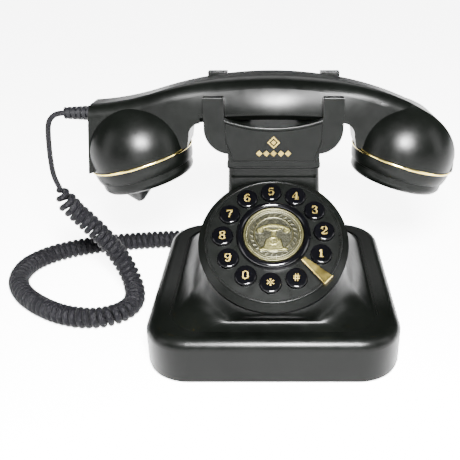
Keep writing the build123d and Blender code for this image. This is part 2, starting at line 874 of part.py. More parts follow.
def cup_point(side, radius, height):
    """A point of the front view, outwards from a cup's axis by radius and above its ring by height."""
    return (
        side * (cup_x + radius * tilt_cos + height * tilt_sin),
        cup_z - radius * tilt_sin + height * tilt_cos,
    )


def back_point(x, inset):
    """A point of the handle's curved back."""
    radius = handle_arc - inset
    return (x, handset_apex - handle_arc + sqrt(radius * radius - x * x))


def side_profile(inset, bottom):
    """The handset seen from the front, drawn inwards by inset, down to a height over the cup rings."""
    inner_x = 50.8 + inset
    corner_x = 44.8 - inset * 0.2
    relief_corner = (-block_x + inset, block_top - inset)
    sweep_start = back_point(-70, inset)
    fall_start = back_point(45, inset)
    fall_end = (94.3 - inset * 0.45, 24.6 - inset * 0.9)
    with BuildSketch(held) as view:
        with BuildLine():
            ThreePointArc(sweep_start, back_point(0, inset), fall_start)
            # left: the back sweeps out into the squared end over the mouthpiece
            rise = 70 / sqrt((handle_arc - inset) ** 2 - 70**2)
            TangentArc(sweep_start, relief_corner, tangent=(-1, -rise))
            Line(relief_corner, cup_point(-1, cup_radius - inset, bottom))
            # right: the back falls in a tighter curve to the earpiece
            drop = 45 / sqrt((handle_arc - inset) ** 2 - 45**2)
            fall = TangentArc(fall_start, fall_end, tangent=(1, -drop))
            TangentArc(fall_end, cup_point(1, cup_radius - inset, bottom), tangent=fall % 1)
            for side in (-1, 1):
                outer = cup_point(side, cup_radius - inset, bottom)
                inner = cup_point(side, -cup_radius + inset, bottom)
                Polyline(outer, inner, (side * inner_x, 9.5))
                ThreePointArc(
                    (side * inner_x, 9.5),
                    (side * (inner_x - 1.6), 14.9 + inset * 0.6),
                    (side * corner_x, handle_under_side + inset),
                )
            ThreePointArc(
                (-corner_x, handle_under_side + inset),
                (0, handle_under + inset),
                (corner_x, handle_under_side + inset),
            )
        make_face()
    return view.sketch


def cup_dome(side, inset, bottom):
    """Half the section of a cup's dome, for turning about the cup's axis."""
    radius = cup_radius - inset
    with BuildSketch(cup_section(side)) as half:
        with BuildLine():
            Polyline((0, cup_lift + radius), (0, bottom), (radius, bottom), (radius, cup_lift))
            RadiusArc((radius, cup_lift), (0, cup_lift + radius), -radius)
        make_face()
    return half.sketch


def cup_body(side, inset, bottom):
    """A cup's dome, kept inside the handset's outline."""
    ring = cup_plane(side)
    with BuildPart() as body:
        revolve(cup_dome(side, inset, bottom), axis=Axis(ring.origin, ring.z_dir))
        extrude(side_profile(inset, bottom), amount=cup_radius + 8, both=True, mode=Mode.INTERSECT)
    return body.part


def handle_body(inset, bottom):
    """The handle with its long upper edges rounded."""
    with BuildPart() as body:
        extrude(side_profile(inset, bottom), amount=handle_half - inset, both=True)
        arcs = body.edges().filter_by(GeomType.CIRCLE).filter_by(lambda edge: edge.radius > 38)
        upper = [edge for edge in arcs if rest.to_local_coords(edge.center()).Z > handle_crease + 4]
        fillet(upper, handle_round - inset)
    return body.part


grip_clear = 0.1

with BuildPart() as handset_shell:
    add(handle_body(0, ring_half))
    for side in (-1, 1):
        add(cup_body(side, 0, ring_half))
    # hollow handle and cups
    add(handle_body(handset_wall, -2), mode=Mode.SUBTRACT)
    for side in (-1, 1):
        add(cup_body(side, handset_wall, -2), mode=Mode.SUBTRACT)
    # opening for the lower cover
    with BuildSketch(held):
        with Locations((0, handle_crease - 10)):
            Rectangle(2 * grip_half_length, 20)
    extrude(amount=handle_half + 1, both=True, mode=Mode.SUBTRACT)
    # screw bosses over the lower cover
    with BuildSketch(rest.offset(handle_crease)):
        with GridLocations(60, 1, 2, 1):
            Circle(3.2)
    extrude(amount=18)
    with BuildSketch(rest.offset(handle_crease)):
        with GridLocations(60, 1, 2, 1):
            Circle(1.2 + screw_gap)
    extrude(amount=9, mode=Mode.SUBTRACT)
    # bore for the strain relief
    with BuildSketch(Plane(origin=held.from_local_coords((-relief_root - 6, relief_z, 0)), z_dir=(1, 0, 0))):
        Circle(2.6)
    extrude(amount=14, mode=Mode.SUBTRACT)
finish(handset_shell.part, "handset_shell")

with BuildPart() as handset_grip:
    with BuildSketch(held):
        with BuildLine():
            half = grip_half_length - grip_clear
            Polyline(
                (-half, handle_under_side),
                (-half, handle_crease - grip_clear),
                (half, handle_crease - grip_clear),
                (half, handle_under_side),
            )
            ThreePointArc((half, handle_under_side), (0, handle_under), (-half, handle_under_side))
        make_face()
    extrude(amount=handle_half - 0.2, both=True)
    grip_bottom = handset_grip.faces().sort_by(Axis(rest.origin, rest.z_dir))[0]
    chamfer(grip_bottom.edges().filter_by(GeomType.CIRCLE), 3.4)
    with BuildSketch(rest.offset(handle_under - 3)):
        with GridLocations(60, 1, 2, 1):
            Circle(2.4)
    extrude(amount=3.2, mode=Mode.SUBTRACT)
    with BuildSketch(rest.offset(handle_under - 3)):
        with GridLocations(60, 1, 2, 1):
            Circle(1.2 + screw_gap)
    extrude(amount=12, mode=Mode.SUBTRACT)
finish(handset_grip.part, "handset_grip")

with BuildPart() as handset_screws:
    with BuildSketch(rest.offset(handle_under + 0.2)):
        with GridLocations(60, 1, 2, 1):
            Circle(2.2)
    extrude(amount=-1.2)
    with BuildSketch(rest.offset(handle_under + 0.2)):
        with GridLocations(60, 1, 2, 1):
            Circle(1.2)
    extrude(amount=10)
finish(handset_screws.part, "handset_screws")

with BuildPart() as handset_weight:
    with BuildSketch(rest.offset(handle_crease + 4)):
        Rectangle(44, 16)
    extrude(amount=9)
finish(handset_weight.part, "handset_weight")

for side, name in ((-1, "mouthpiece"), (1, "earpiece")):
    ring = cup_plane(side)
    ring_axis = Axis(ring.origin, ring.z_dir)
    with BuildPart() as cup_ring:
        with BuildSketch(cup_section(side)):
            with BuildLine():
                outer_radius = cup_radius + ring_proud
                inner_radius = cup_radius - cap_wall - 1.5
                Polyline(
                    (cup_radius, ring_half), (inner_radius, ring_half), (inner_radius, -ring_half),
                    (cup_radius, -ring_half),
                )
                ThreePointArc((cup_radius, -ring_half), (outer_radius, 0), (cup_radius, ring_half))
            make_face()
        revolve(axis=ring_axis)
    finish(cup_ring.part, f"{name}_ring")

    with BuildPart() as cap:
        with BuildSketch(cup_section(side)):
            with BuildLine():
                rim = cup_radius - 0.3
                waist = cup_radius - 1.8
                Line((0, -ring_half), (rim, -ring_half))
                ThreePointArc((rim, -ring_half), (rim - 0.3, -cap_band / 2 - 0.4), (waist, -cap_band))
                Polyline((waist, -cap_band), (waist - 0.8, -cap_band - 0.4), (waist - 0.8, -cap_depth + 4.4))
                ThreePointArc(
                    (waist - 0.8, -cap_depth + 4.4),
                    (waist - 2.2, -cap_depth + 1.2),
                    (waist - 5.4, -cap_depth),
                )
                Polyline((waist - 5.4, -cap_depth), (0, -cap_depth), (0, -ring_half))
            make_face()
        revolve(axis=ring_axis)
        with BuildSketch(ring.offset(-ring_half)):
            Circle(waist - 0.8 - cap_wall)
        extrude(amount=-(cap_depth - ring_half - 4.4), mode=Mode.SUBTRACT)
        with BuildSketch(ring.offset(-cap_depth + 4.4)):
            Circle(waist - 5.4)
        extrude(amount=-4.4 + cap_wall, mode=Mode.SUBTRACT)
        # sound holes in the face
        with BuildSketch(ring.offset(-cap_depth)):
            Circle(1.1)
            with PolarLocations(4.5, 6):
                Circle(1.1)
            if side > 0:
                with PolarLocations(9, 12):
                    Circle(1.1)
        extrude(amount=cap_wall, mode=Mode.SUBTRACT)
    finish(cap.part, f"{name}_cap")

receiver_ring = cup_plane(1)
with BuildPart() as receiver:
    with BuildSketch(receiver_ring.offset(-cap_depth + cap_wall)):
        Circle(16)
    extrude(amount=9)
    with BuildSketch(receiver_ring.offset(-cap_depth + cap_wall)):
        Circle(12)
    extrude(amount=2, mode=Mode.SUBTRACT)
finish(receiver.part, "receiver")

microphone_ring = cup_plane(-1)
with BuildPart() as microphone:
    with BuildSketch(microphone_ring.offset(-cap_depth + cap_wall)):
        Circle(7)
    extrude(amount=5)
    with BuildSketch(microphone_ring.offset(-cap_depth + cap_wall)):
        Circle(5)
    extrude(amount=1, mode=Mode.SUBTRACT)
finish(microphone.part, "microphone")

# hollow scoop under the mouthpiece cap, open at its back
with BuildPart() as mouthpiece_horn:
    for shrink, mode in ((0, Mode.ADD), (horn_wall, Mode.SUBTRACT)):
        with BuildSketch(microphone_ring.offset(-cap_depth)) as mouth:
            with Locations((-8, 0)):
                Ellipse(14 - shrink, 15 - shrink)
        with BuildSketch(microphone_ring.offset(-cap_depth - horn_depth + 1.5 * shrink)) as tip:
            with Locations((-11, 0)):
                Ellipse(2.4 - 0.8 * shrink, 2.8 - 0.8 * shrink)
        loft([mouth.sketch.face(), tip.sketch.face()], mode=mode)
    with BuildSketch(raised(microphone_ring, -8, 14, -cap_depth - 1.5)):
        Rectangle(12, 22)
    extrude(amount=-4, mode=Mode.SUBTRACT)
finish(mouthpiece_horn.part, "mouthpiece_horn")

# ---------------------------------------------------------------- strain relief, cord, plug
relief_end = held.from_local_coords((-relief_tip, relief_z, 0))
relief_start = held.from_local_coords((-relief_root - 1.1, relief_z, 0))
with BuildPart() as strain_relief:
    with BuildSketch(Plane(origin=relief_start, z_dir=(-1, 0, 0))):
        Circle(relief_root_radius)
    with BuildSketch(Plane(origin=relief_end, z_dir=(-1, 0, 0))):
        Circle(relief_tip_radius)
    loft()
    groove_count = 5
    for groove in range(groove_count):
        x = relief_start.X - 3.0 - groove * 3.2
        with BuildSketch(Plane(origin=(x, relief_end.Y, relief_end.Z), z_dir=(-1, 0, 0))):
            Circle(relief_root_radius + 1)
            Circle(wire_diameter / 2 + 1.1, mode=Mode.SUBTRACT)
        extrude(amount=1.2, mode=Mode.SUBTRACT)
    # spigot seated in the handset's bore
    with BuildSketch(Plane(origin=relief_start, z_dir=(1, 0, 0))):
        Circle(relief_spigot)
    extrude(amount=4)
finish(strain_relief.part, "strain_relief")


def corner_radii(points):
    """One arc radius for each corner: 0.45 of its shorter run over the tangent of half its turn."""
    radii = []
    for before, here, after in zip(points, points[1:], points[2:]):
        first = Vector(*here) - Vector(*before)
        second = Vector(*after) - Vector(*here)
        half_turn = radians(first.get_angle(second) / 2)
        radii.append(0.45 * min(first.length, second.length) / tan(half_turn))
    return radii


def cord_tube(points, diameter, name):
    """A cord's solid: straight runs joined by tangent arcs."""
    radii = corner_radii(points)
    with BuildPart() as tube:
        with BuildLine() as route:
            FilletPolyline(*points, radius=radii)
        with BuildSketch(Plane(origin=route.line @ 0, z_dir=route.line % 0)):
            Circle(diameter / 2)
        sweep()
    finish(tube.part, name)


straight_route = [
    (relief_end.X, relief_end.Y, relief_end.Z),
    (relief_end.X - 4.5, relief_end.Y, relief_end.Z),
    (-140.1, 25.7, 128.3),
    (-142.9, 25.5, 123.7),
    (-143.9, 25.1, 114.0),
    (-144.6, 24.6, 101.0),
    (-144.3, 24.2, 89.0),
    (-141.0, 24.0, 79.5),
]
coil_route = [
    (-141.0, 24.0, 79.5),
    (-137.205, 23.77, 68.575),
    (-127.5, 23.9, 57.5),
    (-116.0, 23.8, 43.5),
    (-106.0, 23.0, 28.0),
    (-98.5, 17.5, 13.5),
    (-94.5, 6.0, coil_lay),
    (-96.0, -8.0, coil_lay),
    (-106.5, -18.0, coil_lay),
    (-123.0, -20.5, coil_lay),
    (-141.0, -15.5, coil_lay),
    (-158.0, -5.0, coil_lay),
    (-173.5, 9.0, coil_lay),
    (-183.5, 26.5, coil_lay),
    (-184.5, 45.0, coil_lay),
    (-177.5, 59.5, coil_lay),
    (-164.0, 71.0, coil_lay),
    (-146.0, 79.5, coil_lay),
    (-127.0, 84.5, coil_lay),
    (-107.0, 88.0, coil_lay),
    (-85.0, 90.6, coil_lay),
    (-60.0, 92.6, coil_lay),
]
plug_back = base_depth / 2 + 4.0
tail_route = [
    (-60.0, 92.6, coil_lay),
    (-52.0, 93.24, coil_lay),
    (-45.0, 92.8, 9.6),
    (-jack_x, plug_back + 7.4, jack_z),
    (-jack_x, plug_back, jack_z),
]
cord_tube(straight_route, wire_diameter, "cord_straight")
cord_tube(coil_route, coil_diameter, "cord_coil")
cord_tube(tail_route, wire_diameter, "cord_tail")

with BuildPart() as handset_plug:
    with BuildSketch(Plane.XZ.offset(-plug_back)):
        with Locations((-jack_x, jack_z)):
            Rectangle(plug_width, plug_height)
    extrude(amount=plug_back - wall_inside + plug_inside - 0.6)
    fillet(handset_plug.faces().sort_by(Axis.Y)[-1].edges(), 0.8)
    # release tab under the plug
    with BuildSketch(Plane.XZ.offset(-plug_back + 0.5)):
        with Locations((-jack_x, jack_z - plug_height / 2 + 0.3)):
            Rectangle(3.2, 1.2)
    extrude(amount=3.2)
finish(handset_plug.part, "handset_plug")
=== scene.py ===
import json
import random
from math import atan2, cos, exp, hypot, pi, radians, sin, sqrt

import bpy
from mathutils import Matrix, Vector


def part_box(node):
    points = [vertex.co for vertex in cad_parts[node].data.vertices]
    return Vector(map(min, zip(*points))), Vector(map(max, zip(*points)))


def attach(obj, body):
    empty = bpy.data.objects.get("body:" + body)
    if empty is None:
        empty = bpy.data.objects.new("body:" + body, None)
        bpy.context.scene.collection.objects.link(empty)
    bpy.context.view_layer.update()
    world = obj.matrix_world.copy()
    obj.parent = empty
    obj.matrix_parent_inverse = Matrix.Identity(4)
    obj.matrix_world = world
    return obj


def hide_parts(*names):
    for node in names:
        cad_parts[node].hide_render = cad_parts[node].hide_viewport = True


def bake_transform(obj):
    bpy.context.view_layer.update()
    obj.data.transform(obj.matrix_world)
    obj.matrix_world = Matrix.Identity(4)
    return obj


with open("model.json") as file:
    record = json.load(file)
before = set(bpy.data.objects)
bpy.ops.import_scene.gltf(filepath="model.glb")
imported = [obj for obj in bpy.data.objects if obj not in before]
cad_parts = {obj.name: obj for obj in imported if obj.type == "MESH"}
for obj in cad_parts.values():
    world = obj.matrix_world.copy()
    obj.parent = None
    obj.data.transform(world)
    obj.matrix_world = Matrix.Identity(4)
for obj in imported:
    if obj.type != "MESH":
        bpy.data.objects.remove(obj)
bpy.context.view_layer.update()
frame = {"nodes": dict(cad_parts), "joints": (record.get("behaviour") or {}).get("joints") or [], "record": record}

nodes = frame["nodes"]
MM = 0.001

# ---------------------------------------------------------------- directions taken from the frame
joints = {joint["name"]: joint for joint in frame["joints"]}
DIAL_IN = Vector(joints["key_1_press"]["axis"]).normalized()
DIAL_OUT = -DIAL_IN
DIAL_RIGHT = Vector((1, 0, 0))
DIAL_UP = DIAL_OUT.cross(DIAL_RIGHT)


def centre(node):
    """The middle of a CAD node's box."""
    low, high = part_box(node)
    return (low + high) / 2


def reach(node, direction):
    """How far a CAD node's vertices go along a direction."""
    return max(vertex.co.dot(direction) for vertex in nodes[node].data.vertices)


# ---------------------------------------------------------------- camera and lights
CAMERA_PLACE = (0.002, -0.3713, 0.250)
CAMERA_TILT = 63.1  # degrees from straight down
CAMERA_LENS = 50.87
CAMERA_SHIFT = -0.102
# name, place, target, width and height, power
LIGHTS = (
    ("key_box", (0.03, -0.42, 0.41), (0, 0, 0.11), (0.13, 0.10), 125.0),
    ("left_box", (-0.9, -0.35, 0.40), (0, 0, 0.06), (0.35, 0.7), 10.0),
    ("right_box", (0.9, -0.25, 0.45), (0, 0, 0.06), (0.35, 0.7), 12.0),
    ("back_box", (0.0, 0.85, 0.75), (0, 0, 0.1), (0.9, 0.3), 6.0),
)
SKY_COLOUR = (0.97, 0.985, 1, 1)
SKY_STRENGTH = 0.08


def add_camera():
    data = bpy.data.cameras.new("camera")
    camera = bpy.data.objects.new("camera", data)
    bpy.context.scene.collection.objects.link(camera)
    camera.location = CAMERA_PLACE
    camera.rotation_euler = (radians(CAMERA_TILT), 0, 0)
    data.sensor_width = 36.0
    data.lens = CAMERA_LENS
    data.shift_x = CAMERA_SHIFT
    data.clip_start = 0.01
    bpy.context.scene.camera = camera


def add_area(name, location, target, size, power):
    data = bpy.data.lights.new(name, "AREA")
    data.shape = "RECTANGLE"
    data.size, data.size_y = size
    data.energy = power
    light = bpy.data.objects.new(name, data)
    bpy.context.scene.collection.objects.link(light)
    light.location = location
    light.rotation_euler = (Vector(target) - Vector(location)).to_track_quat("-Z", "Y").to_euler()


def add_lights():
    for light in LIGHTS:
        add_area(*light)
    world = bpy.data.worlds.new("studio")
    world.use_nodes = True
    background = world.node_tree.nodes["Background"]
    background.inputs["Color"].default_value = SKY_COLOUR
    background.inputs["Strength"].default_value = SKY_STRENGTH
    bpy.context.scene.world = world


# ---------------------------------------------------------------- materials
def new_material(name):
    material = bpy.data.materials.new(name)
    material.use_nodes = True
    tree = material.node_tree
    return material, tree, tree.nodes["Principled BSDF"]


def add_node(tree, kind, **inputs):
    """A shader node with the given socket values; underscores in the names stand for spaces."""
    node = tree.nodes.new(kind)
    for key, value in inputs.items():
        node.inputs[key.replace("_", " ")].default_value = value
    return node


def noise(tree, scale, detail=3.0, roughness=0.55):
    """Noise in the object's own coordinates."""
    coordinates = tree.nodes.new("ShaderNodeTexCoord")
    node = add_node(tree, "ShaderNodeTexNoise", Scale=scale, Detail=detail, Roughness=roughness)
    tree.links.new(coordinates.outputs["Object"], node.inputs["Vector"])
    return node


def ramp(tree, source, low, high, start=0.3, end=0.7):
    """A colour or grey that follows a factor from low to high."""
    node = tree.nodes.new("ShaderNodeValToRGB")
    node.color_ramp.elements[0].position = start
    node.color_ramp.elements[1].position = end
    for element, value in zip(node.color_ramp.elements, (low, high)):
        element.color = (*value, 1) if isinstance(value, (tuple, list)) else (value, value, value, 1)
    tree.links.new(source, node.inputs["Fac"])
    return node.outputs["Color"]


def bump(tree, source, strength, distance, below=None):
    node = add_node(tree, "ShaderNodeBump", Strength=strength, Distance=distance)
    tree.links.new(source, node.inputs["Height"])
    if below is not None:
        tree.links.new(below, node.inputs["Normal"])
    return node.outputs["Normal"]


def finish_material(tree, shader, colour, roughness, normal):
    for source, socket in ((colour, "Base Color"), (roughness, "Roughness"), (normal, "Normal")):
        if source is not None:
            tree.links.new(source, shader.inputs[socket])


def plastic(name, dark, light, rough_low, rough_high, grain=0.12, coat=0.0, specular=0.5):
    """Moulded plastic: slow colour drift, uneven gloss, fine spark-eroded grain and faint flow waves."""
    material, tree, shader = new_material(name)
    shader.inputs["Specular IOR Level"].default_value = specular
    shader.inputs["Coat Weight"].default_value = coat
    shader.inputs["Coat Roughness"].default_value = 0.06
    drift = noise(tree, 28.0, 4.0)
    gloss = noise(tree, 140.0, 5.0, 0.65)
    fine = noise(tree, 5200.0, 2.0)
    wave = noise(tree, 60.0, 2.0)
    normal = bump(tree, wave.outputs["Fac"], 0.10, 0.0006)
    normal = bump(tree, fine.outputs["Fac"], grain, 0.00008, normal)
    finish_material(
        tree,
        shader,
        ramp(tree, drift.outputs["Fac"], dark, light),
        ramp(tree, gloss.outputs["Fac"], rough_low, rough_high),
        normal,
    )
    return material


def handle_plastic(name):
    """The satin plastic, with the handle's front and back crowned between the prongs."""
    material = plastic(name, *SATIN)
    tree = material.node_tree
    shader = tree.nodes["Principled BSDF"]
    link = shader.inputs["Normal"].links[0]
    below = link.from_socket

    def maths(operation, first, second=None, third=None):
        node = tree.nodes.new("ShaderNodeMath")
        node.operation = operation
        for socket, value in zip(node.inputs, (first, second, third)):
            if isinstance(value, (int, float)):
                socket.default_value = value
            elif value is not None:
                tree.links.new(value, socket)
        return node.outputs[0]

    coordinates = tree.nodes.new("ShaderNodeTexCoord")
    split = tree.nodes.new("ShaderNodeSeparateXYZ")
    tree.links.new(coordinates.outputs["Object"], split.inputs["Vector"])
    x, z = split.outputs["X"], split.outputs["Z"]
    # distance from the middle line of the handle's front, which follows the curve of its back
    along = maths("MULTIPLY", x, x)
    drop = maths("MULTIPLY", along, CROWN_SAG)
    line = maths("ADD", maths("SUBTRACT", z, CROWN_HEIGHT), drop)
    crown = maths("MULTIPLY", maths("MULTIPLY", line, line), -0.5 / CROWN_RADIUS)
    fade = maths("MULTIPLY", maths("MINIMUM", along, CROWN_END), 1 / CROWN_END)
    fade = maths("SUBTRACT", 1.0, fade)
    height = maths("MULTIPLY", crown, maths("MULTIPLY", fade, fade))
    # a slight swell along the handle too, which dies away behind the prongs
    swell = maths("EXPONENT", maths("MULTIPLY", along, -1 / SWELL_HALF**2))
    height = maths("MULTIPLY_ADD", swell, SWELL_HEIGHT, height)
    node = add_node(tree, "ShaderNodeBump", Strength=1.0, Distance=1.0)
    tree.links.new(height, node.inputs["Height"])
    tree.links.new(below, node.inputs["Normal"])
    tree.links.new(node.outputs["Normal"], shader.inputs["Normal"])
    return material


def metal(name, dark, light, rough_low, rough_high, grain_scale=900.0, strength=0.1):
    material, tree, shader = new_material(name)
    shader.inputs["Metallic"].default_value = 1.0
    tarnish = noise(tree, 220.0, 5.0, 0.6)
    smear = noise(tree, 90.0, 4.0)
    grain = noise(tree, grain_scale, 4.0)
    finish_material(
        tree,
        shader,
        ramp(tree, tarnish.outputs["Fac"], dark, light),
        ramp(tree, smear.outputs["Fac"], rough_low, rough_high),
        bump(tree, grain.outputs["Fac"], strength, 0.0001),
    )
    return material


def antique(name):
    """Pale antique gold: dark patina in the hollows of the relief, rubbed bright on its high places."""
    material, tree, shader = new_material(name)
    shader.inputs["Metallic"].default_value = 0.85
    height = tree.nodes.new("ShaderNodeAttribute")
    height.attribute_name = "relief"
    blotch = noise(tree, 500.0, 6.0, 0.7)
    mixed = tree.nodes.new("ShaderNodeMath")
    mixed.operation = "MULTIPLY_ADD"
    mixed.inputs[1].default_value = 0.45
    tree.links.new(blotch.outputs["Fac"], mixed.inputs[0])
    tree.links.new(height.outputs["Fac"], mixed.inputs[2])
    grain = noise(tree, 2600.0, 4.0, 0.6)
    finish_material(
        tree,
        shader,
        ramp(tree, mixed.outputs[0], (0.0025, 0.0024, 0.0005), (0.032, 0.029, 0.0082), 0.22, 0.85),
        ramp(tree, blotch.outputs["Fac"], 0.30, 0.52),
        bump(tree, grain.outputs["Fac"], 0.35, 0.00012),
    )
    return material


STRANDS_ROUND = 6
STRANDS_ALONG = 5  # for each length of cord equal to its girth


def braid(name):
    """Braided textile sleeve, mostly black with navy and brown threads, in the cord's own UVs."""
    material, tree, shader = new_material(name)
    shader.inputs["Sheen Weight"].default_value = 0.006
    shader.inputs["Sheen Roughness"].default_value = 0.45
    shader.inputs["Specular IOR Level"].default_value = 0.035
    coordinates = tree.nodes.new("ShaderNodeTexCoord")
    split = tree.nodes.new("ShaderNodeSeparateXYZ")
    tree.links.new(coordinates.outputs["UV"], split.inputs["Vector"])

    def strand(sign):
        """A wave that winds round the cord one way."""
        turn = tree.nodes.new("ShaderNodeMath")
        turn.operation = "MULTIPLY"
        turn.inputs[1].default_value = 2 * pi * STRANDS_ROUND
        tree.links.new(split.outputs["X"], turn.inputs[0])
        along = tree.nodes.new("ShaderNodeMath")
        along.operation = "MULTIPLY_ADD"
        along.inputs[1].default_value = sign * 2 * pi * STRANDS_ALONG
        tree.links.new(split.outputs["Y"], along.inputs[0])
        tree.links.new(turn.outputs[0], along.inputs[2])
        wave = tree.nodes.new("ShaderNodeMath")
        wave.operation = "SINE"
        tree.links.new(along.outputs[0], wave.inputs[0])
        return wave.outputs[0]

    weave = tree.nodes.new("ShaderNodeMath")
    weave.operation = "MAXIMUM"
    tree.links.new(strand(1), weave.inputs[0])
    tree.links.new(strand(-1), weave.inputs[1])
    fuzz = noise(tree, 3000.0, 3.0)
    threads = noise(tree, 420.0, 2.0)
    normal = bump(tree, fuzz.outputs["Fac"], 0.25, 0.0001)
    normal = bump(tree, weave.outputs[0], 0.7, 0.00022, normal)
    finish_material(
        tree,
        shader,
        ramp(tree, threads.outputs["Fac"], (0.0002, 0.0002, 0.0004), (0.0011, 0.0010, 0.0014), 0.35, 0.75),
        ramp(tree, fuzz.outputs["Fac"], 0.45, 0.7),
        normal,
    )
    return material


def clear_plastic(name):
    material, tree, shader = new_material(name)
    shader.inputs["Transmission Weight"].default_value = 0.85
    shader.inputs["IOR"].default_value = 1.49
    haze = noise(tree, 300.0, 3.0)
    finish_material(
        tree,
        shader,
        ramp(tree, haze.outputs["Fac"], (0.80, 0.84, 0.84), (0.95, 0.97, 0.97)),
        ramp(tree, haze.outputs["Fac"], 0.05, 0.14),
        bump(tree, haze.outputs["Fac"], 0.05, 0.0002),
    )
    return material


# dark, light, lowest and highest roughness, grain, coat, specular
SATIN = ((0.00015, 0.0002, 0.00015), (0.0004, 0.0005, 0.0004), 0.28, 0.36, 0.12, 0.0, 0.05)
CROWN_HEIGHT = 0.1330  # the middle of the handle's front, above the floor
CROWN_RADIUS = 0.030
CROWN_SAG = 2.15  # how the middle line drops with the square of the distance along
CROWN_END = 0.0049  # the square of the distance along at which the crown ends
SWELL_HALF = 0.035
SWELL_HEIGHT = 0.0062


def make_materials():
    return {
        "satin_black": plastic("satin_black", *SATIN),
        "handle_black": handle_plastic("handle_black"),
        "dial_black": plastic(
            "dial_black", (0.00015, 0.0002, 0.00015), (0.0004, 0.0005, 0.0004), 0.26, 0.34, specular=0.06
        ),
        "gloss_black": plastic(
            "gloss_black", (0.0001, 0.0001, 0.00014), (0.0003, 0.0003, 0.0004), 0.08, 0.14, 0.03, 0.02, 0.11
        ),
        "antique_gold": antique("antique_gold"),
        "gold": metal("gold", (0.46, 0.35, 0.08), (0.72, 0.58, 0.18), 0.10, 0.22),
        "steel": metal("steel", (0.38, 0.38, 0.40), (0.62, 0.62, 0.64), 0.25, 0.45),
        "rubber": plastic(
            "rubber", (0.006, 0.006, 0.006), (0.012, 0.012, 0.012), 0.6, 0.8, 0.3, specular=0.2
        ),
        "relief_rubber": plastic(
            "relief_rubber", (0.0003, 0.0003, 0.0005), (0.001, 0.001, 0.0013), 0.4, 0.6, 0.25, specular=0.06
        ),
        "board": plastic("board", (0.02, 0.10, 0.04), (0.04, 0.18, 0.07), 0.3, 0.5),
        "cord_fabric": braid("cord_fabric"),
        "clear_plastic": clear_plastic("clear_plastic"),
        "print_gold": metal(
            "print_gold", (0.07, 0.051, 0.013), (0.115, 0.088, 0.025), 0.38, 0.52, 1500.0
        ),
    }


def paint(obj, material):
    obj.data.materials.clear()
    obj.data.materials.append(material)


def paint_frame(materials):
    """Every carried-over CAD node gets the material of its slot."""
    for entry in frame["record"]["subparts"]:
        paint(nodes[entry["node"]], materials[entry["material_slot"]])
    paint(nodes["emblem"], materials["print_gold"])
    paint(nodes["handset_shell"], materials["handle_black"])


# ---------------------------------------------------------------- mesh helpers
def mesh_object(name, points, faces, material, smooth=True, uvs=None):
    mesh = bpy.data.meshes.new(name)
    mesh.from_pydata([tuple(point) for point in points], [], faces)
    mesh.validate()
    if uvs is not None:
        layer = mesh.uv_layers.new(name="UVMap")
        for loop in mesh.loops:
            layer.data[loop.index].uv = uvs[loop.vertex_index]
    for polygon in mesh.polygons:
        polygon.use_smooth = smooth
    obj = bpy.data.objects.new(name, mesh)
    bpy.context.scene.collection.objects.link(obj)
    paint(obj, material)
    return obj


def ramp_up(value, start, end):
    """0 before start, 1 after end and smooth in between."""
    share = min(max((value - start) / (end - start), 0.0), 1.0)
    return share * share * (3 - 2 * share)


def spline_points(name, route):
    """The points of a smooth NURBS line whose control points are the route."""
    data = bpy.data.curves.new(name, "CURVE")
    data.dimensions = "3D"
    data.resolution_u = 24
    spline = data.splines.new("NURBS")
    spline.points.add(len(route) - 1)
    for point, place in zip(spline.points, route):
        point.co = (*(value * MM for value in place), 1)
    spline.order_u = 3
    spline.use_endpoint_u = True
    holder = bpy.data.objects.new(name, data)
    mesh = bpy.data.meshes.new_from_object(holder)
    points = [vertex.co.copy() for vertex in mesh.vertices]
    bpy.data.objects.remove(holder)
    bpy.data.meshes.remove(mesh)
    bpy.data.curves.remove(data)
    return points


def lengths_along(points):
    total = [0.0]
    for before, after in zip(points, points[1:]):
        total.append(total[-1] + (after - before).length)
    return total


def point_at(points, distances, distance, hint):
    """The place and segment of a polyline at a distance along it, searching on from a segment."""
    while hint < len(points) - 2 and distances[hint + 1] < distance:
        hint += 1
    span = distances[hint + 1] - distances[hint]
    share = min(max((distance - distances[hint]) / span, 0.0), 1.0)
    return points[hint].lerp(points[hint + 1], share), hint


def carried_frames(points):
    """A tangent and a normal at each point, the normal carried along without twisting."""
    frames = []
    normal = None
    for index, point in enumerate(points):
        before = points[max(index - 1, 0)]
        after = points[min(index + 1, len(points) - 1)]
        tangent = (after - before).normalized()
        if normal is None:
            normal = tangent.orthogonal().normalized()
        normal = (normal - tangent * normal.dot(tangent)).normalized()
        frames.append((tangent, normal))
    return frames


def tube(name, path, radii, sides, material):
    """A closed mesh tube along a path, with U round it and V along it in turns of its girth."""
    points, faces, uvs = [], [], []
    distances = lengths_along(path)
    for place, (tangent, normal), distance, radius in zip(path, carried_frames(path), distances, radii):
        side = tangent.cross(normal)
        for step in range(sides):
            angle = 2 * pi * step / sides
            points.append(place + (normal * cos(angle) + side * sin(angle)) * radius)
            uvs.append((step / sides, distance / (2 * pi * WIRE_RADIUS)))
    for ring in range(len(path) - 1):
        for step in range(sides):
            a = ring * sides + step
            b = ring * sides + (step + 1) % sides
            faces.append((a, b, b + sides, a + sides))
    faces.append(tuple(range(sides))[::-1])
    last = (len(path) - 1) * sides
    faces.append(tuple(range(last, last + sides)))
    return mesh_object(name, points, faces, material, uvs=uvs)


# ---------------------------------------------------------------- handset cord
WIRE_RADIUS = 1.7 * MM
WOUND_RADIUS = 2.1 * MM  # the braid swells where it is wound
COIL_RADIUS = 5.0 * MM  # from the coil's middle to the middle of the wire
COIL_PITCH = 4.35 * MM
TURN_POINTS = 18
STRAIGHT_STEP = 0.8 * MM
COIL_EASE = 9 * MM  # over this length the wire leaves the middle line
COIL_LOOSE = 14 * MM  # up to here the first turns are looser
CORD_SIDES = 12

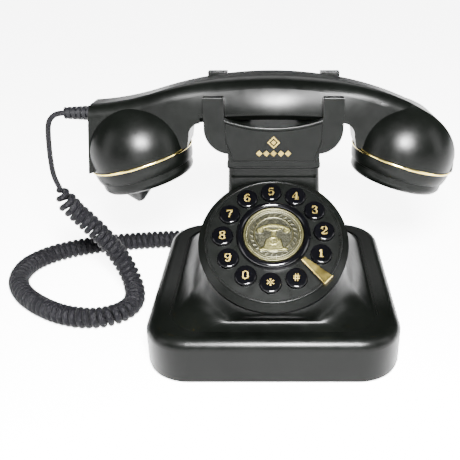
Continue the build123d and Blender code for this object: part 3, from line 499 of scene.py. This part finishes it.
straight_route = [
    (-131.0, 25.8, 130.9),
    (-135.5, 25.8, 130.9),
    (-140.1, 25.7, 128.3),
    (-142.9, 25.5, 123.7),
    (-143.9, 25.1, 114.0),
    (-144.6, 24.6, 101.0),
    (-144.3, 24.2, 89.0),
    (-141.0, 24.0, 79.5),
]
COIL_LAY = 7.4
coil_route = [
    (-137.205, 23.77, 68.575),
    (-127.5, 23.9, 57.5),
    (-116.0, 23.8, 43.5),
    (-106.0, 23.0, 28.0),
    (-98.5, 17.5, 13.5),
    (-94.5, 6.0, COIL_LAY),
    (-96.0, -8.0, COIL_LAY),
    (-106.5, -18.0, COIL_LAY),
    (-123.0, -20.5, COIL_LAY),
    (-141.0, -15.5, COIL_LAY),
    (-158.0, -5.0, COIL_LAY),
    (-173.5, 9.0, COIL_LAY),
    (-183.5, 26.5, COIL_LAY),
    (-184.5, 45.0, COIL_LAY),
    (-177.5, 59.5, COIL_LAY),
    (-164.0, 71.0, COIL_LAY),
    (-146.0, 79.5, COIL_LAY),
    (-127.0, 84.5, COIL_LAY),
    (-107.0, 88.0, COIL_LAY),
    (-85.0, 90.6, COIL_LAY),
    (-60.0, 92.6, COIL_LAY),
]
tail_route = [
    (-52.0, 93.24, COIL_LAY),
    (-45.0, 92.8, 9.6),
    (-41.0, 88.4, 12.0),
    (-41.0, 81.0, 12.0),
]


def nearest_distance(points, distances, place):
    """How far along a polyline its nearest point to a place is."""
    target = Vector(place) * MM
    index = min(range(len(points)), key=lambda i: (points[i] - target).length)
    return distances[index]


def cord_path():
    """The wire's own line: straight, then wound round the route's spline, then straight to the plug."""
    middle = spline_points("cord_route", straight_route + coil_route + tail_route)
    distances = lengths_along(middle)
    frames = carried_frames(middle)
    coil_start = nearest_distance(middle, distances, straight_route[-1])
    coil_end = nearest_distance(middle, distances, coil_route[-1])
    luck = random.Random(7)
    path, radii = [], []
    distance = angle = wobble = 0.0
    hint = 0
    while distance < distances[-1]:
        place, hint = point_at(middle, distances, distance, hint)
        tangent, normal = frames[hint]
        wound = ramp_up(distance, coil_start - COIL_EASE * 0.4, coil_start + COIL_EASE)
        wound *= 1 - ramp_up(distance, coil_end - COIL_EASE, coil_end + COIL_EASE * 0.4)
        slack = 1 - ramp_up(distance, coil_start + COIL_EASE, coil_start + COIL_LOOSE)
        wobble += (luck.uniform(-1, 1) - wobble) * 0.05
        radius = COIL_RADIUS * wound * (1 + 0.12 * slack * sin(angle * 0.5) + 0.10 * wobble)
        side = tangent.cross(normal)
        path.append(place + (normal * cos(angle) + side * sin(angle)) * radius)
        radii.append(WIRE_RADIUS + (WOUND_RADIUS - WIRE_RADIUS) * wound)
        pitch = COIL_PITCH * (1 + 0.30 * slack + 0.25 * wobble)
        if wound > 0.02:
            angle += 2 * pi / TURN_POINTS
            distance += pitch / TURN_POINTS
        else:
            distance += STRAIGHT_STEP
    path.append(middle[-1])
    radii.append(WIRE_RADIUS)
    return path, radii


def add_cord(materials):
    path, radii = cord_path()
    cord = tube("handset_cord", path, radii, CORD_SIDES, materials["cord_fabric"])
    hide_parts("cord_straight", "cord_coil", "cord_tail")
    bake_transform(cord)


# ---------------------------------------------------------------- medallion
MEDALLION_RINGS = 100
MEDALLION_SPOKES = 300
# millimetres
MEDALLION_HEIGHT = 3.7
MEDALLION_FLOOR = 2.95  # the level that the relief stands on
MEDALLION_RADIUS = 17.6
RELIEF_FULL = 0.8  # relief that is rubbed fully bright


def bar(value, half, edge):
    """1 inside a band of that half width, falling to 0 over its edge."""
    return 1 - ramp_up(abs(value), half - edge / 2, half + edge / 2)


def telephone_relief(x, y):
    """Height, from 0 to 1, of a generic cradle telephone drawn in millimetres round the origin."""
    edge = 0.45
    base_share = min(max((y + 6.0) / 5.0, 0.0), 1.0)
    base = bar(y + 3.9, 2.1, edge) * bar(x, 4.6 - 2.0 * sqrt(base_share), edge)
    plinth = bar(y + 6.3, 0.55, edge) * bar(x, 5.4, edge)
    dial = 1 - ramp_up(hypot(x, (y + 2.6) * 1.1), 1.9, 2.3)
    dial_hollow = 1 - ramp_up(hypot(x, (y + 2.6) * 1.1), 1.0, 1.4)
    neck = bar(y - 0.4, 1.6, edge) * bar(x, 0.9 + 0.1 * y * y, edge)
    horns = bar(y - 2.0 - 0.09 * x * x, 0.45, edge) * bar(x, 3.1, edge)
    handle = bar(y - 4.1 + 0.05 * x * x, 0.62, edge) * bar(x, 5.6, edge)
    cups = 1 - ramp_up(hypot(abs(x) - 5.3, y - 2.0), 1.0, 1.5)
    body = max(base * 0.75, plinth * 0.8, neck * 0.6, horns * 0.8, handle, cups * 0.95, dial * 0.95)
    return body - 0.35 * dial_hollow


def medallion_height(x, y):
    """Height in millimetres over the medallion's floor."""
    radius = hypot(x, y)
    angle = atan2(y, x)
    rim = 0.42 * bar(radius - 17.1, 0.45, 0.4)
    twist = 0.62 + 0.38 * sin(84 * angle + 3.2 * (radius - 15.9))
    rope = 0.38 * exp(-(((radius - 15.9) / 0.55) ** 2)) * twist
    inner_line = 0.20 * exp(-(((radius - 14.7) / 0.25) ** 2))
    leaves = 0.16 * bar(radius - 12.9, 0.9, 0.5) * max(0.0, sin(26 * angle + 1.4 * (radius - 12.9))) ** 2
    ring = 0.26 * exp(-(((radius - 11.3) / 0.35) ** 2))
    ripple = sin(x * 3.1 + 1.3 * sin(y * 2.3)) * sin(y * 2.9 + 1.1 * sin(x * 2.7))
    field = 0.05 * ripple * bar(radius, 11.0, 0.8)
    figure = 0.75 * telephone_relief(x / 1.5, (y + 0.6) / 1.5)
    return rim + rope + inner_line + leaves + ring + field + figure


def add_medallion(materials):
    low = reach("medallion", DIAL_OUT) - MEDALLION_HEIGHT * MM
    middle = centre("hub_ring")
    middle += DIAL_OUT * (low - middle.dot(DIAL_OUT))
    points, relief = [], []
    for ring in range(MEDALLION_RINGS + 1):
        radius = MEDALLION_RADIUS * ring / MEDALLION_RINGS
        for spoke in range(MEDALLION_SPOKES):
            angle = 2 * pi * spoke / MEDALLION_SPOKES
            x, y = radius * cos(angle), radius * sin(angle)
            height = medallion_height(x, y)
            points.append(middle + (DIAL_RIGHT * x + DIAL_UP * y + DIAL_OUT * (MEDALLION_FLOOR + height)) * MM)
            relief.append(min(max(height / RELIEF_FULL, 0), 1) * 0.6)
    for spoke in range(MEDALLION_SPOKES):
        angle = 2 * pi * spoke / MEDALLION_SPOKES
        edge = DIAL_RIGHT * cos(angle) + DIAL_UP * sin(angle)
        points.append(middle + edge * MEDALLION_RADIUS * MM)
        relief.append(0)
    faces = []
    for ring in range(MEDALLION_RINGS + 1):
        for spoke in range(MEDALLION_SPOKES):
            a = ring * MEDALLION_SPOKES + spoke
            b = ring * MEDALLION_SPOKES + (spoke + 1) % MEDALLION_SPOKES
            faces.append((a, a + MEDALLION_SPOKES, b + MEDALLION_SPOKES, b))
    last = (MEDALLION_RINGS + 1) * MEDALLION_SPOKES
    faces.append(tuple(range(last, last + MEDALLION_SPOKES))[::-1])
    medallion = mesh_object("medallion_relief", points, faces, materials["antique_gold"])
    layer = medallion.data.attributes.new("relief", "FLOAT", "POINT")
    for index, value in enumerate(relief):
        layer.data[index].value = value
    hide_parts("medallion")
    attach(medallion, "base")


# ---------------------------------------------------------------- glyphs on the keys
THIN = 0.075
THICK = 0.20
PETAL_WIDTH = 0.17
PETAL_ROOT = 0.05
# Each stroke is a list of points in a box one unit high, and a width; None gives the thick and thin
# of a pen held upright.
GLYPHS = {
    "1": [
        ([(0.5, 0.04), (0.5, 0.96)], 0.21),
        ([(0.5, 0.92), (0.40, 0.80), (0.27, 0.76)], 0.09),
        ([(0.26, 0.035), (0.74, 0.035)], 0.07),
    ],
    "2": [
        (
            [
                (0.24, 0.68), (0.25, 0.86), (0.48, 0.97), (0.74, 0.84),
                (0.72, 0.60), (0.46, 0.36), (0.22, 0.10),
            ],
            None,
        ),
        ([(0.20, 0.085), (0.78, 0.085)], 0.16),
        ([(0.78, 0.08), (0.82, 0.28)], 0.07),
        ([(0.25, 0.70), (0.31, 0.70)], 0.15),
    ],
    "3": [
        (
            [
                (0.25, 0.76), (0.34, 0.93), (0.56, 0.96),
                (0.72, 0.76), (0.60, 0.57), (0.42, 0.52),
            ],
            None,
        ),
        (
            [
                (0.42, 0.52), (0.64, 0.50), (0.78, 0.28),
                (0.64, 0.06), (0.38, 0.03), (0.22, 0.20),
            ],
            None,
        ),
        ([(0.25, 0.75), (0.31, 0.75)], 0.14),
        ([(0.22, 0.22), (0.28, 0.22)], 0.15),
    ],
    "4": [
        ([(0.62, 0.97), (0.14, 0.31)], 0.07),
        ([(0.13, 0.29), (0.86, 0.29)], 0.08),
        ([(0.64, 0.97), (0.64, 0.04)], 0.20),
        ([(0.44, 0.035), (0.83, 0.035)], 0.07),
    ],
    "5": [
        ([(0.30, 0.90), (0.76, 0.90)], 0.14),
        ([(0.29, 0.95), (0.26, 0.50)], 0.07),
        (
            [
                (0.26, 0.50), (0.46, 0.60), (0.70, 0.52), (0.78, 0.30),
                (0.66, 0.07), (0.40, 0.02), (0.22, 0.18),
            ],
            None,
        ),
        ([(0.22, 0.20), (0.28, 0.20)], 0.14),
    ],
    "6": [
        (
            [
                (0.74, 0.84), (0.62, 0.96), (0.42, 0.92), (0.25, 0.66),
                (0.22, 0.34), (0.34, 0.07), (0.54, 0.02),
            ],
            None,
        ),
        (
            [
                (0.54, 0.02), (0.74, 0.14), (0.76, 0.38),
                (0.60, 0.56), (0.40, 0.52), (0.28, 0.40),
            ],
            None,
        ),
        ([(0.68, 0.82), (0.74, 0.82)], 0.13),
    ],
    "7": [
        ([(0.20, 0.89), (0.82, 0.89)], 0.15),
        ([(0.20, 0.95), (0.20, 0.68)], 0.06),
        ([(0.80, 0.86), (0.60, 0.56), (0.50, 0.30), (0.47, 0.02)], 0.17),
    ],
    "8": [
        (
            [
                (0.50, 0.97), (0.29, 0.88), (0.28, 0.68), (0.50, 0.54),
                (0.72, 0.36), (0.72, 0.12), (0.50, 0.03),
            ],
            None,
        ),
        (
            [
                (0.50, 0.97), (0.70, 0.88), (0.71, 0.68), (0.50, 0.54),
                (0.27, 0.38), (0.26, 0.12), (0.50, 0.03),
            ],
            None,
        ),
    ],
    "9": [
        (
            [
                (0.26, 0.16), (0.38, 0.04), (0.58, 0.08), (0.75, 0.34),
                (0.78, 0.66), (0.66, 0.93), (0.46, 0.98),
            ],
            None,
        ),
        (
            [
                (0.46, 0.98), (0.26, 0.86), (0.24, 0.62),
                (0.40, 0.44), (0.60, 0.48), (0.72, 0.60),
            ],
            None,
        ),
        ([(0.26, 0.18), (0.32, 0.18)], 0.13),
    ],
    "0": [
        ([(0.50, 0.97), (0.28, 0.82), (0.23, 0.50), (0.28, 0.18), (0.50, 0.03)], None),
        ([(0.50, 0.97), (0.72, 0.82), (0.77, 0.50), (0.72, 0.18), (0.50, 0.03)], None),
    ],
    "hash": [
        ([(0.34, 0.06), (0.42, 0.94)], 0.10),
        ([(0.60, 0.06), (0.68, 0.94)], 0.10),
        ([(0.18, 0.64), (0.86, 0.64)], 0.10),
        ([(0.16, 0.36), (0.84, 0.36)], 0.10),
    ],
    "star": [],
}
for petal in range(6):
    petal_turn = radians(90 + 60 * petal)
    GLYPHS["star"].append(
        (
            [
                (0.5 + 0.07 * cos(petal_turn), 0.5 + 0.07 * sin(petal_turn)),
                (0.5 + 0.42 * cos(petal_turn), 0.5 + 0.42 * sin(petal_turn)),
            ],
            PETAL_WIDTH,
        )
    )


def smooth_stroke(points, steps=6):
    """Points along a Catmull-Rom line through the given ones."""
    if len(points) == 2:
        return points
    ends = [points[0], *points, points[-1]]
    line = []
    for a, b, c, d in zip(ends, ends[1:], ends[2:], ends[3:]):
        for step in range(steps):
            t = step / steps
            line.append(
                tuple(
                    0.5
                    * (
                        2 * q
                        + (r - p) * t
                        + (2 * p - 5 * q + 4 * r - s) * t * t
                        + (3 * q - p - 3 * r + s) * t**3
                    )
                    for p, q, r, s in zip(a, b, c, d)
                )
            )
    return line + [points[-1]]


def stroke_ribbon(points, width):
    """The left and right edges of a pen stroke."""
    line = smooth_stroke(points)
    edges = []
    for index, (x, y) in enumerate(line):
        before = line[max(index - 1, 0)]
        after = line[min(index + 1, len(line) - 1)]
        dx, dy = after[0] - before[0], after[1] - before[1]
        size = hypot(dx, dy)
        stroke = width if width is not None else THIN + (THICK - THIN) * abs(dy / size) ** 1.6
        if width == PETAL_WIDTH and len(line) == 2:
            stroke = PETAL_ROOT if index == 0 else PETAL_WIDTH
        edges.append(
            (
                (x - dy / size * stroke / 2, y + dx / size * stroke / 2),
                (x + dy / size * stroke / 2, y - dx / size * stroke / 2),
            )
        )
    return edges


GLYPH_HEIGHT = 5.2 * MM
GLYPH_PROUD = 0.05 * MM


def add_glyph(key, materials):
    """The raised gold print on one key's cap."""
    node = f"key_{key}"
    top = reach(node, DIAL_OUT)
    middle = Vector((centre(node).x, 0, 0)) + DIAL_UP * key_up(node)
    middle += DIAL_OUT * (top - middle.dot(DIAL_OUT))
    points, faces = [], []
    for layer, (stroke, width) in enumerate(GLYPHS[key]):
        first = len(points)
        edges = stroke_ribbon(stroke, width)
        lift = GLYPH_PROUD * (1 + 0.15 * layer)
        for pair in edges:
            for x, y in pair:
                flat = DIAL_RIGHT * (x - 0.5) * GLYPH_HEIGHT + DIAL_UP * (y - 0.5) * GLYPH_HEIGHT
                points.append(middle + flat + DIAL_OUT * lift)
                points.append(middle + flat - DIAL_OUT * GLYPH_PROUD)
        for step in range(len(edges) - 1):
            a = first + 4 * step
            faces.append((a, a + 4, a + 6, a + 2))
            faces.append((a + 1, a + 3, a + 7, a + 5))
            faces.append((a, a + 1, a + 5, a + 4))
            faces.append((a + 2, a + 6, a + 7, a + 3))
        end = first + 4 * (len(edges) - 1)
        faces.append((first, first + 2, first + 3, first + 1))
        faces.append((end, end + 1, end + 3, end + 2))
    glyph = mesh_object(f"glyph_{key}", points, faces, materials["print_gold"], smooth=False)
    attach(glyph, f"key_{key}_body")


def key_up(node):
    """Where a key's middle is, along the dial's own up direction."""
    values = [vertex.co.dot(DIAL_UP) for vertex in nodes[node].data.vertices]
    return (min(values) + max(values)) / 2


# ---------------------------------------------------------------- floor
FLOOR_HALF = 40.0
FLOOR_GLOW = 7.2


def add_floor():
    mesh = bpy.data.meshes.new("floor")
    half = FLOOR_HALF
    corners = [(-half, -half, 0), (half, -half, 0), (half, half, 0), (-half, half, 0)]
    mesh.from_pydata(corners, [], [(0, 1, 2, 3)])
    floor = bpy.data.objects.new("floor", mesh)
    bpy.context.scene.collection.objects.link(floor)
    material, tree, shader = new_material("floor")
    shader.inputs["Roughness"].default_value = 0.9
    shader.inputs["Emission Color"].default_value = (1, 1, 1, 1)
    shader.inputs["Emission Strength"].default_value = FLOOR_GLOW
    cloud = noise(tree, 2.0)
    finish_material(tree, shader, ramp(tree, cloud.outputs["Fac"], 0.26, 0.28), None, None)
    paint(floor, material)


# ---------------------------------------------------------------- the scene
materials = make_materials()
add_camera()
add_lights()
add_floor()
paint_frame(materials)
add_cord(materials)
add_medallion(materials)
for key_label in GLYPHS:
    add_glyph(key_label, materials)
